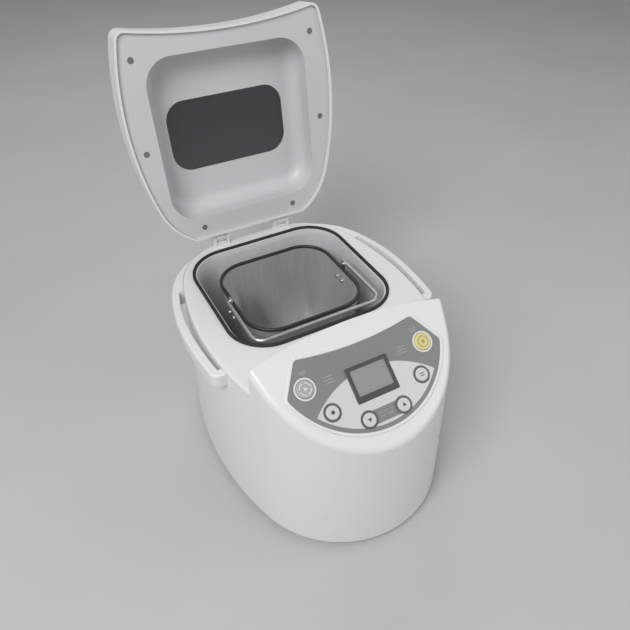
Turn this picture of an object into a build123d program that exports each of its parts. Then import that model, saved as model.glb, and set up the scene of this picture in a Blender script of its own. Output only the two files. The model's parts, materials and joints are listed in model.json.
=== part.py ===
"""Bread machine: oval body, sloped control panel, hinged lid, lift-out pan and belt drive.

Frame: +Z up, the front faces -Y, the origin is the centre of the footprint on the table.
The lid is stored open on its stop, the pan seated and its bail folded forward.
"""
import os
from math import atan2, cos, degrees, radians, sin, sqrt, tan

from build123d import *

os.makedirs("parts", exist_ok=True)

# Body plan: a front arc, a long side arc and a rear corner arc on each side
body_half_width = 127.0
body_front = 173.5
body_rear = 173.5
front_step = 12.0
side_radius = 342.0
rear_corner_radius = 84.0
side_taper = 2.0
wall = 3.0
foot_height = 6.0
foot_radius = 11.0
foot_inset = 49.0
foot_front_inset = 85.5
foot_rear_inset = 55.5
tray_floor = 3.0
tray_rim = 12.0
tray_fit = 0.2
tray_screw_inset = 11.0
tray_screw_y = -20.0
tray_screw_rear_side = 82.0
tray_screw_rear_inset = 10.0
tray_boss_radius = 6.5
tray_boss_height = 26.0
tray_screw_length = 18.0
skirt_edge = 1.5
foot_chamfer = 1.0
cut_past = 1.0

# Deck round the oven opening
deck_seat_z = 184.0
deck_thickness = 6.0
deck_side = 37.0
opening_half_y = 86.0
opening_centre_y = 57.0
opening_radius = 40.0
gasket_width = 3.4
gasket_height = 4.8
gasket_inset = 1.5
gasket_groove = 2.0
deck_fit = 0.15
deck_edge = 3.0
deck_lip = 5.0
deck_lip_wall = 2.0
lip_gap = 0.35

# Control hood: the slope carries the panel, its rear ridge is an arc
panel_y = -117.3
panel_z = 188.4
panel_tilt = 35.6
ridge_y = -66.6
ridge_radius = 556.0
brow_radius = 7.0
curtain_drop = 6.0
hood_allowance = 12.0

# Panel face, in the slope's own plane
overlay_thickness = 0.8
overlay_radius = 90.0
overlay_half_width = 84.0
overlay_shoulder_v = 13.0
overlay_bottom_v = -44.8
overlay_top_u = 64.0
overlay_top_v = 44.6
overlay_top_mid_v = 38.8
overlay_corner_radius = 5.0
bead_width = 3.2
bead_height = 1.8
panel_fit = 0.15
inlay_thickness = 0.4
inlay_margin = 4.0
inlay_top_v = 14.0
inlay_top_radius = 95.0
display_half_u = 22.9
display_low_v = -15.1
display_high_v = 19.7
display_frame = 3.6
display_sill = 6.0
display_height = 1.3
display_lap = 0.4
display_corner = 1.2
display_gap = 0.1
glass_thickness = 0.9

# Buttons: large pair, outer small pair, inner small pair
large_button_radius = 8.6
small_button_radius = 6.6
large_button_u = 64.8
large_button_v = 16.6
outer_button_u = 49.2
outer_button_v = -12.1
inner_button_u = 18.9
inner_button_v = -31.3
button_gap = 0.35
button_proud = 2.6
button_travel = 1.5
button_flange = 1.4
button_flange_thickness = 1.4
button_stem_radius = 2.5
button_stem_length = 6.0
button_edge = 1.2
flange_gap = 0.1
ring_width = 1.7
ring_height = 0.7
switch_size = 6.0
board_thickness = 1.6
board_inset = 6.0
board_depth = 13.0
board_screw_places = ((-36.0, 30.0), (36.0, 30.0), (-31.0, -8.0), (31.0, -8.0))
board_boss_radius = 3.0
board_screw_bite = 5.0
screw_radius = 1.5
screw_gap = 0.1
screw_end_gap = 2.0
screw_head_radius = 3.2
screw_head = 1.6

# Oven chamber
chamber_wall = 1.2
chamber_floor_z = 42.0
chamber_flange = 7.0
chamber_floor_radius = 9.2
heater_radius = 3.5
heater_z = 60.0
heater_wall_gap = 9.0
heater_leg_x = 18.0
heater_leg_out = 14.0
heater_bend = (10.0, 34.0, 34.0, 34.0, 34.0, 10.0)
heater_gap = 0.2
heater_clip_spacing = 70.0
heater_clip_width = 7.0
heater_clip_height = 11.0
sensor_radius = 3.0
sensor_length = 16.0
sensor_flange = 2.0
sensor_z = 100.0

# Drive train under the chamber
drive_y = opening_centre_y
shaft_radius = 4.0
shaft_past = 2.0
running_gap = 0.05
bush_radius = 8.0
bush_length = 6.0
carrier_half_x = 55.0
carrier_half_y = 42.0
carrier_thickness = 6.0
carrier_boss_radius = 13.0
carrier_boss = 14.0
pulley_z = 14.0
pulley_width = 11.0
pulley_flange = 1.5
pulley_lip = 2.0
large_pulley_radius = 43.0
motor_pulley_radius = 9.0
belt_thickness = 2.6
belt_gap = 0.3
motor_y = -88.0
motor_radius = 38.0
motor_height = 62.0
motor_edge = 6.0
motor_plate = 4.0
motor_plate_z = 40.0
motor_plate_margin = 8.0
motor_plate_corner = 6.0
motor_post_radius = 5.0
motor_post_x = 34.0
motor_post_y = 36.0
motor_shaft_length = 50.0
motor_screw_length = 16.0

# Dog coupling between the drive shaft and the pan's shaft
dog_radius = 12.0
dog_base = 3.0
dog_peg = 5.0
dog_peg_offset = 8.0
dog_peg_radius = 2.2
dog_lift = 2.0
dog_bar = 20.0
dog_bar_width = 6.0
dog_bar_height = 4.0
dog_hub_wall = 3.0
dog_face_gap = 1.0
dog_peg_gap = 0.6

# Pan seat and pan
seat_radius = 52.0
seat_thickness = 0.8
seat_wall = 4.0
seat_height = 8.0
seat_screw_reach = 30.0
seat_screw_end_z = 37.0
pan_ring_radius = 46.5
pan_ring_wall = 3.5
pan_sit_gap = 0.1
pan_floor_z = 58.0
pan_rim_z = 182.0
pan_top_half_x = 68.0
pan_top_half_y = 63.0
pan_top_radius = 34.0
pan_draft_inset = 7.0
pan_bottom_tuck = 4.0
pan_wall = 1.4
pan_edge_radius = 8.0
rim_proud = 2.2
rim_height = 3.0
rib_x = 18.0
rib_radius = 3.6
rib_low = 12.0
rib_high = 72.0
bracket_half_y = 10.0
bracket_low_z = 158.0
bracket_tab = 1.6
bracket_gap = 0.3
bracket_high_z = 180.0
bracket_foot = 6.0
bracket_foot_drop = 3.0
eye_radius = 4.8
bail_pivot_z = 187.6
bail_reach = 75.0
bail_wire_radius = 2.0
bail_bend = (2.5, 13.0, 13.0, 2.5)
bail_pin_past = 1.5
bail_side_gap = 0.5
rivet_radius = 2.6
rivet_proud = 1.2
rivet_shank_radius = 1.6
rivet_pitch = 11.0
rivet_z = 168.0
rivet_head_gap = 0.25
paddle_hub_radius = 8.0
paddle_hub_height = 22.0
paddle_reach = 42.0
paddle_thickness = 3.6
paddle_height = 26.0
paddle_lift = 0.8
paddle_corner = 5.0
paddle_cap = 2.0
pan_bush_drop = 2.8
pan_bush_rise = 8.0
pan_bush_flange = 3.0
pan_bush_flange_thickness = 1.6

# Lid, drawn closed and swung open about the hinge pins
lid_inset = 6.2
lid_wall = 2.5
lid_front_gap = 1.5
lid_rim_gap = 1.0
lid_height = 40.0
lid_edge_radius = 15.0
lid_front_corner = 10.0
lid_rear_corner = 22.0
lid_open_angle = 98.5
hinge_y = 162.9
hinge_z = 200.0
hinge_pin_radius = 2.0
hinge_barrel_radius = 5.0
hinge_x = 40.0
knuckle_half = 5.6
lug_width = 4.0
hinge_side_gap = 0.4
lid_rear_gap = 6.0
heel_half = 1.9
heel_reach = 9.7
stop_gap = 0.1
stop_width = 3.0
stop_height = 4.5
knuckle_drop = 2.5
liner_lift = 4.0
liner_thickness = 2.6
liner_fit = 0.3
recess_side = 37.0
recess_front_y = -45.0
recess_rear_y = 131.0
recess_radius = 30.0
recess_wall = 1.6
recess_edge_radius = 16.0
window_side = 20.0
window_front_y = 6.0
window_rear_y = 84.0
window_radius = 22.0
window_lap = 5.0
window_thickness = 2.5
lid_screw_front = (28.0, -46.5)
lid_screw_middle = (22.5, 46.0)
lid_screw_rear = (69.3, 143.5)
lid_boss_radius = 4.0
lid_screw_length = 12.0

# Carry grips along both sides
grip_out = 8.5
grip_mid_y = 28.0
grip_front_out = 2.5
grip_front_y = -42.0
grip_shoulder_in = 6.0
grip_shoulder_y = 107.0
grip_merge_in = 54.0
grip_merge_y = 157.0
grip_thickness = 8.5
grip_low_z = 171.0
grip_high_z = 188.0
grip_slot_front_y = -34.0
grip_slot_rear_y = 98.0
grip_corner = 10.0
grip_edge = 2.5

# Electrics
gland_x = 16.0
gland_z = 34.0
gland_radius = 8.0
gland_flange = 3.0
gland_barrel = 12.0
gland_stand = 0.4
gland_edge = 1.2
gland_bore_radius = 4.0
power_board_x = -66.0
power_board_y = -80.0
power_board_width = 36.0
power_board_length = 68.0
power_board_lift = 8.0
power_post_radius = 3.0
power_post_inset = 4.0
relay_size = 36.0
vent_count = 7
vent_pitch = 8.0
vent_width = 3.0
vent_height = 26.0
vent_z = 90.0

# Places worked out from the sizes above
opening_half_x = body_half_width - deck_side
heater_half_x = opening_half_x - heater_wall_gap
heater_half_y = opening_half_y - heater_wall_gap
recess_half_x = body_half_width - recess_side
window_half_x = recess_half_x - window_side
large_button_uv = (large_button_u, large_button_v)
outer_button_uv = (outer_button_u, outer_button_v)
inner_button_uv = (inner_button_u, inner_button_v)
front_radius = body_half_width - front_step
foot_x = body_half_width - foot_inset
foot_front_y = foot_front_inset - body_front
foot_rear_y = body_rear - foot_rear_inset
tray_screw_places = [
    (side * x, y)
    for x, y in (
        (body_half_width - tray_screw_inset, tray_screw_y),
        (body_half_width - tray_screw_rear_side, body_rear - tray_screw_rear_inset),
    )
    for side in (-1, 1)
]
pan_bottom_half_x = pan_top_half_x - pan_draft_inset
pan_bottom_half_y = pan_top_half_y - pan_draft_inset
pan_bottom_radius = pan_top_radius - pan_bottom_tuck
skirt_z = foot_height + 1.0
deck_top_z = deck_seat_z + deck_thickness
tray_top_z = foot_height + tray_floor
chamber_inner_floor_z = chamber_floor_z + chamber_wall
seat_top_z = chamber_inner_floor_z + seat_thickness
pan_ring_z = seat_top_z + pan_sit_gap
slope = Plane(
    origin=(0, panel_y, panel_z),
    x_dir=(1, 0, 0),
    z_dir=(0, -sin(radians(panel_tilt)), cos(radians(panel_tilt))),
)
open_sin = sin(radians(lid_open_angle))
open_cos = cos(radians(lid_open_angle))
lid_plane = Plane(
    origin=(
        0,
        hinge_y - hinge_y * open_cos - hinge_z * open_sin,
        hinge_z + hinge_y * open_sin - hinge_z * open_cos,
    ),
    x_dir=(1, 0, 0),
    z_dir=(0, open_sin, open_cos),
)
lid_rim_z = deck_top_z + lid_rim_gap
lid_top_z = lid_rim_z + lid_height
liner_z = deck_top_z + liner_lift
recess_top_z = lid_top_z - lid_wall - window_thickness
ridge_centre_y = ridge_y - ridge_radius
recess_half_y = (recess_rear_y - recess_front_y) / 2
recess_centre_y = (recess_rear_y + recess_front_y) / 2
window_half_y = (window_rear_y - window_front_y) / 2
window_centre_y = (window_rear_y + window_front_y) / 2
chamber_front_y = opening_centre_y - opening_half_y
seat_screw_places = [
    (x * seat_screw_reach, drive_y + y * seat_screw_reach)
    for x, y in ((-1, 0), (1, 0), (0, -1), (0, 1))
]
slope_out = Axis(slope.origin, slope.z_dir)
lid_up = Axis((0, 0, 0), lid_plane.z_dir)
ALIGN_UP = (Align.CENTER, Align.CENTER, Align.MIN)
ALIGN_DOWN = (Align.CENTER, Align.CENTER, Align.MAX)
ALIGN_EDGE = (Align.CENTER, Align.MIN)


def taper_inset(z):
    """How far the body's side has drawn in at a height."""
    return (z - skirt_z) * tan(radians(side_taper))


def plan_face(inset=0.0, mode=Mode.ADD):
    """The body's plan, drawn in by a distance, in the current sketch."""
    front_y = front_radius - body_front
    side_x = body_half_width - side_radius
    side_y = front_y + sqrt((side_radius - front_radius) ** 2 - side_x**2)
    corner_y = body_rear - rear_corner_radius
    corner_x = side_x + sqrt((side_radius - rear_corner_radius) ** 2 - (corner_y - side_y) ** 2)
    front_end = degrees(atan2(front_y - side_y, -side_x))
    side_end = degrees(atan2(corner_y - side_y, corner_x - side_x))
    with BuildLine() as outline:
        CenterArc((0, front_y), front_radius - inset, -90, front_end + 90)
        CenterArc((side_x, side_y), side_radius - inset, front_end, side_end - front_end)
        CenterArc((corner_x, corner_y), rear_corner_radius - inset, side_end, 90 - side_end)
        Line((corner_x, body_rear - inset), (0, body_rear - inset))
        mirror(about=Plane.YZ)
    make_face(outline.edges(), mode=mode)


def body_prism(inset, low, high):
    """The tapered body between two heights, drawn in by a distance."""
    with BuildSketch(Plane.XY.offset(low)) as low_section:
        plan_face(inset + taper_inset(low))
    with BuildSketch(Plane.XY.offset(high)) as high_section:
        plan_face(inset + taper_inset(high))
    loft([low_section.sketch, high_section.sketch], ruled=True)


def rounded(half_x, half_y, radius, centre_y=0.0, mode=Mode.ADD):
    """A rounded rectangle on the machine's centre line, in the current sketch."""
    with Locations((0, centre_y)):
        RectangleRounded(2 * half_x, 2 * half_y, radius, mode=mode)


def opening_face(grow, mode=Mode.ADD):
    """The oven opening's outline, grown by a distance."""
    rounded(opening_half_x + grow, opening_half_y + grow, opening_radius + grow, opening_centre_y, mode)


def ridge_disc(grow, mode=Mode.INTERSECT):
    """The round region in front of the hood's rear ridge."""
    with Locations((0, ridge_centre_y)):
        Circle(ridge_radius + grow, mode=mode)


def save(builder, name):
    """Label a finished piece and write it."""
    builder.part.label = name
    export_step(builder.part, f"parts/{name}.step")


def overlay_face(grow=0.0, mode=Mode.ADD):
    """The half-moon of the control panel, grown by a distance."""
    with BuildLine() as outline:
        low = ThreePointArc(
            (-overlay_half_width, overlay_shoulder_v),
            (0, overlay_bottom_v),
            (overlay_half_width, overlay_shoulder_v),
        )
        top = ThreePointArc(
            (overlay_top_u, overlay_top_v),
            (0, overlay_top_mid_v),
            (-overlay_top_u, overlay_top_v),
        )
        Line(low @ 1, top @ 0)
        Line(top @ 1, low @ 0)
        fillet(outline.vertices(), overlay_corner_radius)
        if grow:
            offset(amount=grow, mode=Mode.REPLACE)
    make_face(outline.edges(), mode=mode)


def button_places(uv):
    """The left and right places of a mirrored pair of buttons."""
    return [(-uv[0], uv[1]), uv]


def all_button_holes(grow):
    """Round holes for the six buttons in the current sketch."""
    with Locations(*button_places(large_button_uv)):
        Circle(large_button_radius + grow, mode=Mode.SUBTRACT)
    with Locations(*button_places(outer_button_uv), *button_places(inner_button_uv)):
        Circle(small_button_radius + grow, mode=Mode.SUBTRACT)


def display_face(frame_side, frame_low, mode=Mode.ADD):
    """The display's rectangle, drawn in from its frame."""
    low = display_low_v + frame_low
    high = display_high_v - frame_side
    with Locations((0, (low + high) / 2)):
        RectangleRounded(2 * (display_half_u - frame_side), high - low, display_corner, mode=mode)


# Rubber feet
with BuildPart() as rubber_feet:
    with Locations(*[(x, y, 0) for x in (-foot_x, foot_x) for y in (foot_front_y, foot_rear_y)]):
        Cylinder(foot_radius, foot_height, align=ALIGN_UP)
    chamfer(rubber_feet.faces().group_by(Axis.Z)[0].edges(), foot_chamfer)
save(rubber_feet, "rubber_feet")

# Base tray: a floor with a short upstanding rim inside the housing's skirt
with BuildPart() as base_tray:
    body_prism(wall + tray_fit, foot_height, tray_top_z + tray_rim)
    with BuildSketch(Plane.XY.offset(tray_top_z)):
        plan_face(2 * wall + tray_fit)
    extrude(amount=tray_rim + cut_past, mode=Mode.SUBTRACT)
    with BuildSketch(Plane.XY.offset(tray_top_z)):
        with Locations(*tray_screw_places):
            Circle(tray_boss_radius + tray_fit)
    extrude(amount=tray_rim + cut_past, mode=Mode.SUBTRACT)
    with BuildSketch(Plane.XY.offset(foot_height)):
        with Locations(*tray_screw_places):
            Circle(screw_radius + screw_gap)
    extrude(amount=tray_floor, mode=Mode.SUBTRACT)
    with BuildSketch(Plane.XY.offset(foot_height)):
        with Locations(*tray_screw_places):
            Circle(screw_head_radius + screw_gap)
    extrude(amount=screw_head, mode=Mode.SUBTRACT)
    with Locations((power_board_x, power_board_y, tray_top_z)):
        with GridLocations(
            power_board_width - 2 * power_post_inset, power_board_length - 2 * power_post_inset, 2, 2
        ):
            Cylinder(power_post_radius, power_board_lift, align=ALIGN_UP)
save(base_tray, "base_tray")

# Screws that hold the tray to the housing's bosses
with BuildPart() as tray_screws:
    with Locations(*[(x, y, foot_height) for x, y in tray_screw_places]):
        Cylinder(screw_head_radius, screw_head, align=ALIGN_UP)
        Cylinder(screw_radius, tray_floor + tray_screw_length - screw_end_gap, align=ALIGN_UP)
save(tray_screws, "tray_screws")

# The space inside the housing
hood_top_z = panel_z + (ridge_y - panel_y) * tan(radians(panel_tilt)) + hood_allowance
with BuildPart() as housing_core:
    body_prism(wall, skirt_z - cut_past, hood_top_z)
    with BuildSketch(Plane.XY.offset(deck_seat_z - curtain_drop)):
        Rectangle(4 * body_half_width, 4 * body_rear)
        ridge_disc(-wall, Mode.SUBTRACT)
        ridge_disc(0.0)
    extrude(amount=hood_top_z, mode=Mode.SUBTRACT)
    split(bisect_by=slope.offset(-wall), keep=Keep.BOTTOM)

# Housing: skirt, tapered wall and the sloped hood in one moulding
with BuildPart() as housing:
    body_prism(0.0, skirt_z, hood_top_z)
    with BuildSketch(Plane.XY.offset(deck_seat_z)):
        Rectangle(4 * body_half_width, 4 * body_rear)
        ridge_disc(0.0, Mode.SUBTRACT)
    extrude(amount=hood_top_z, mode=Mode.SUBTRACT)
    split(bisect_by=slope, keep=Keep.BOTTOM)
    slope_face = housing.faces().sort_by(slope_out)[-1]
    ridge_edges = slope_face.edges().group_by(Axis.Y)[-1]
    fillet(slope_face.edges() - ridge_edges, brow_radius)
    fillet(housing.faces().sort_by(Axis.Z)[0].outer_wire().edges(), skirt_edge)
    add(housing_core.part, mode=Mode.SUBTRACT)
    with BuildSketch(slope):
        display_face(display_frame - display_lap, display_sill - display_lap)
    extrude(amount=-2 * wall, mode=Mode.SUBTRACT)
    with BuildSketch(slope):
        with Locations(*button_places(large_button_uv)):
            Circle(large_button_radius + button_gap)
        with Locations(*button_places(outer_button_uv), *button_places(inner_button_uv)):
            Circle(small_button_radius + button_gap)
    extrude(amount=-2 * wall, mode=Mode.SUBTRACT)
    with BuildSketch(Plane.XZ.offset(-body_rear - wall)):
        with Locations((gland_x, gland_z)):
            Circle(gland_radius)
        with Locations((0, vent_z)):
            with GridLocations(vent_pitch, 1, vent_count, 1):
                SlotOverall(vent_height, vent_width, rotation=90)
    extrude(amount=4 * wall, mode=Mode.SUBTRACT)
    with BuildSketch(Plane.XY.offset(tray_top_z)):
        with Locations(*tray_screw_places):
            Circle(tray_boss_radius)
    extrude(amount=tray_boss_height)
    with BuildSketch(Plane.XY.offset(tray_top_z)):
        with Locations(*tray_screw_places):
            Circle(screw_radius)
    extrude(amount=tray_screw_length, mode=Mode.SUBTRACT)
    with BuildSketch(slope.offset(-board_depth)):
        with Locations(*board_screw_places):
            Circle(board_boss_radius)
    extrude(amount=board_depth - wall / 2)
    with BuildSketch(slope.offset(-board_depth)):
        with Locations(*board_screw_places):
            Circle(screw_radius)
    extrude(amount=board_depth - 2 * wall, mode=Mode.SUBTRACT)
save(housing, "housing")

# Deck: closes the top behind the hood and frames the oven opening
lug_step = knuckle_half + hinge_side_gap + lug_width / 2
lug_places = [side * (hinge_x + end * lug_step) for side in (-1, 1) for end in (-1, 1)]
with BuildPart() as top_deck:
    with BuildSketch(Plane.XY.offset(deck_seat_z)):
        plan_face(taper_inset(deck_seat_z))
        ridge_disc(deck_fit, Mode.SUBTRACT)
    extrude(amount=deck_thickness)
    deck_edges = top_deck.faces().sort_by(Axis.Z)[-1].edges()
    fillet(deck_edges - deck_edges.sort_by(Axis.Y)[:1], deck_edge)
    with BuildSketch(Plane.XY.offset(deck_seat_z - deck_lip)):
        plan_face(taper_inset(deck_seat_z - deck_lip) + wall + lip_gap)
        plan_face(taper_inset(deck_seat_z) + wall + deck_lip_wall, Mode.SUBTRACT)
        ridge_disc(3 * wall, Mode.SUBTRACT)
    extrude(amount=deck_lip)
    with Locations(*[(x, hinge_y + hinge_barrel_radius, deck_seat_z) for x in (-hinge_x, hinge_x)]):
        Box(
            2 * lug_step + lug_width,
            4 * hinge_barrel_radius,
            deck_thickness,
            align=(Align.CENTER, Align.MAX, Align.MIN),
        )
    with Locations(*[(x, hinge_y, deck_seat_z) for x in lug_places]):
        Box(lug_width, 2 * hinge_barrel_radius, hinge_z - deck_seat_z, align=ALIGN_UP)
    with Locations(*[Pos(x, hinge_y, hinge_z) * Rot(0, 90, 0) for x in lug_places]):
        Cylinder(hinge_barrel_radius, lug_width)
    with Locations(*[Pos(x, hinge_y, hinge_z) * Rot(0, 90, 0) for x in lug_places]):
        Cylinder(hinge_pin_radius, lug_width, mode=Mode.SUBTRACT)
    with Locations(*[(x, hinge_y - heel_half - stop_gap, deck_seat_z) for x in (-hinge_x, hinge_x)]):
        Box(
            2 * knuckle_half,
            stop_width,
            deck_thickness + stop_height,
            align=(Align.CENTER, Align.MAX, Align.MIN),
        )
    with BuildSketch(Plane.XY.offset(deck_seat_z)):
        opening_face(0.0)
    extrude(amount=deck_thickness, mode=Mode.SUBTRACT)
    with BuildSketch(Plane.XY.offset(deck_top_z)):
        opening_face(gasket_inset + gasket_width)
        opening_face(gasket_inset, Mode.SUBTRACT)
    extrude(amount=-gasket_groove, mode=Mode.SUBTRACT)
save(top_deck, "top_deck")

# Black gasket in the deck's groove
with BuildPart() as chamber_gasket:
    with BuildSketch(Plane.XY.offset(deck_top_z - gasket_groove)):
        opening_face(gasket_inset + gasket_width)
        opening_face(gasket_inset, Mode.SUBTRACT)
    extrude(amount=gasket_height)
    fillet(chamber_gasket.faces().sort_by(Axis.Z)[-1].edges(), gasket_width / 3)
save(chamber_gasket, "chamber_gasket")

# Carry grips: a bowed strip on each side with a foot at each end
with BuildPart() as housing_block:
    body_prism(0.0, skirt_z, hood_top_z)
with BuildPart() as deck_block:
    with BuildSketch(Plane.XY.offset(deck_seat_z)):
        plan_face(taper_inset(deck_seat_z) - deck_fit)
    extrude(amount=2 * deck_thickness)
grip_out_x = body_half_width + grip_out
grip_merge_x = body_half_width - grip_merge_in


def grip_face(shrink):
    """The right grip's bowed outline down to the body's core, drawn in by a distance."""
    with BuildLine() as outline:
        front_run = TangentArc(
            (grip_out_x - shrink, grip_mid_y),
            (body_half_width + grip_front_out - shrink, grip_front_y),
            tangent=(0, -1),
        )
        side_run = TangentArc(
            (grip_out_x - shrink, grip_mid_y),
            (body_half_width - grip_shoulder_in - shrink, grip_shoulder_y),
            tangent=(0, 1),
        )
        rear_run = TangentArc(
            side_run @ 1,
            (grip_merge_x - shrink, grip_merge_y),
            tangent=side_run % 1,
        )
        Polyline(rear_run @ 1, (grip_merge_x - shrink, grip_front_y), front_run @ 1)
    make_face(outline.edges())


with BuildSketch(Plane.XY.offset(grip_low_z)) as grip_plan:
    grip_face(0.0)
    fillet(vertices().group_by(Axis.Y)[0].sort_by(Axis.X)[-1], grip_corner)
with BuildSketch(Plane.XY.offset(grip_low_z)) as grip_slot:
    grip_face(grip_thickness)
    with Locations((0, grip_slot_front_y)):
        Rectangle(
            4 * body_half_width, grip_slot_rear_y - grip_slot_front_y, align=ALIGN_EDGE, mode=Mode.INTERSECT
        )
with BuildPart() as carry_grip_right:
    extrude(grip_plan.sketch, amount=grip_high_z - grip_low_z)
    fillet(carry_grip_right.faces().sort_by(Axis.Z)[-1].edges(), grip_edge)
    fillet(carry_grip_right.faces().sort_by(Axis.Z)[0].edges(), grip_edge)
    extrude(grip_slot.sketch, amount=grip_high_z - grip_low_z, mode=Mode.SUBTRACT)
    add(housing_block.part, mode=Mode.SUBTRACT)
    add(deck_block.part, mode=Mode.SUBTRACT)
save(carry_grip_right, "carry_grip_right")

with BuildPart() as carry_grip_left:
    add(mirror(carry_grip_right.part, about=Plane.YZ))
save(carry_grip_left, "carry_grip_left")

# Panel overlay with a raised bead round it
with BuildPart() as panel_bead:
    with BuildSketch(slope):
        overlay_face(bead_width)
        overlay_face(0.0, Mode.SUBTRACT)
    extrude(amount=bead_height)
    fillet(panel_bead.faces().sort_by(slope_out)[-1].edges(), bead_width / 3)
save(panel_bead, "panel_bead")

with BuildPart() as panel_overlay:
    with BuildSketch(slope):
        overlay_face(-panel_fit)
        display_face(display_frame - display_lap, display_sill - display_lap, Mode.SUBTRACT)
        all_button_holes(button_gap)
    extrude(amount=overlay_thickness)
save(panel_overlay, "panel_overlay")

# Silver leaf on the overlay, between two arcs
inlay_plane = slope.offset(overlay_thickness)
leaf_centre_v = overlay_bottom_v + overlay_radius
with BuildPart() as silver_inlay:
    with BuildSketch(inlay_plane):
        with Locations((0, leaf_centre_v)):
            Circle(overlay_radius - inlay_margin)
        with Locations((0, inlay_top_v - inlay_top_radius)):
            Circle(inlay_top_radius, mode=Mode.INTERSECT)
        display_face(-panel_fit, -panel_fit, Mode.SUBTRACT)
        all_button_holes(button_gap + ring_width + panel_fit)
        with Locations((0, inner_button_uv[1])):
            Rectangle(2 * inner_button_uv[0], 2 * small_button_radius, mode=Mode.SUBTRACT)
    extrude(amount=inlay_thickness)
save(silver_inlay, "silver_inlay")

# Rings round the buttons
with BuildPart() as large_button_rings:
    with BuildSketch(inlay_plane):
        with Locations(*button_places(large_button_uv)):
            Circle(large_button_radius + button_gap + ring_width)
        all_button_holes(button_gap)
    extrude(amount=ring_height)
save(large_button_rings, "large_button_rings")

with BuildPart() as small_button_rings:
    with BuildSketch(inlay_plane):
        with Locations(*button_places(outer_button_uv), *button_places(inner_button_uv)):
            Circle(small_button_radius + button_gap + ring_width)
        all_button_holes(button_gap)
    extrude(amount=ring_height)
save(small_button_rings, "small_button_rings")

# Display: frame, glass and the module behind it
with BuildPart() as display_bezel:
    with BuildSketch(inlay_plane):
        display_face(0.0, 0.0)
        display_face(display_frame, display_sill, Mode.SUBTRACT)
    extrude(amount=display_height)
    fillet(display_bezel.faces().sort_by(slope_out)[-1].outer_wire().edges(), display_height / 2)
save(display_bezel, "display_bezel")

with BuildPart() as display_glass:
    with BuildSketch(inlay_plane):
        display_face(display_frame - display_lap + display_gap, display_sill - display_lap + display_gap)
    extrude(amount=-glass_thickness)
save(display_glass, "display_glass")

with BuildPart() as lcd_module:
    with BuildSketch(inlay_plane.offset(-glass_thickness)):
        display_face(display_frame - display_lap + display_gap, display_sill - display_lap + display_gap)
    extrude(amount=-(board_depth + overlay_thickness - glass_thickness))
save(lcd_module, "lcd_module")

# Six push buttons, each a cap with a flange behind the wall and a stem
button_table = (
    ("left_round_button", -large_button_uv[0], large_button_uv[1], large_button_radius),
    ("right_round_button", large_button_uv[0], large_button_uv[1], large_button_radius),
    ("left_outer_button", -outer_button_uv[0], outer_button_uv[1], small_button_radius),
    ("right_outer_button", outer_button_uv[0], outer_button_uv[1], small_button_radius),
    ("left_inner_button", -inner_button_uv[0], inner_button_uv[1], small_button_radius),
    ("right_inner_button", inner_button_uv[0], inner_button_uv[1], small_button_radius),
)
flange_top = -wall - flange_gap
for name, u, v, radius in button_table:
    with BuildPart() as button:
        with BuildSketch(slope.offset(flange_top - button_flange_thickness)):
            with Locations((u, v)):
                Circle(radius + button_flange)
        extrude(amount=button_flange_thickness)
        with BuildSketch(slope.offset(flange_top)):
            with Locations((u, v)):
                Circle(radius)
        extrude(amount=button_proud - flange_top)
        fillet(button.faces().sort_by(slope_out)[-1].edges(), button_edge)
        with BuildSketch(slope.offset(flange_top - button_flange_thickness)):
            with Locations((u, v)):
                Circle(button_stem_radius)
        extrude(amount=-button_stem_length)
    save(button, name)

# Switches, board and screws behind the panel
stem_end = flange_top - button_flange_thickness - button_stem_length
switch_height = stem_end - button_travel - flange_gap + board_depth
all_button_places = [(u, v) for name, u, v, radius in button_table]
with BuildPart() as button_switches:
    with BuildSketch(slope.offset(-board_depth)):
        with Locations(*all_button_places):
            Rectangle(switch_size, switch_size)
    extrude(amount=switch_height)
save(button_switches, "button_switches")

with BuildPart() as control_board:
    with BuildSketch(slope.offset(-board_depth)):
        overlay_face(-board_inset)
        with Locations(*board_screw_places):
            Circle(screw_radius + screw_gap, mode=Mode.SUBTRACT)
    extrude(amount=-board_thickness)
save(control_board, "control_board")

with BuildPart() as board_screws:
    with BuildSketch(slope.offset(-board_depth - board_thickness)):
        with Locations(*board_screw_places):
            Circle(screw_head_radius)
    extrude(amount=-screw_head)
    with BuildSketch(slope.offset(-board_depth - board_thickness)):
        with Locations(*board_screw_places):
            Circle(screw_radius)
    extrude(amount=board_thickness + board_screw_bite)
save(board_screws, "board_screws")

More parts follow.
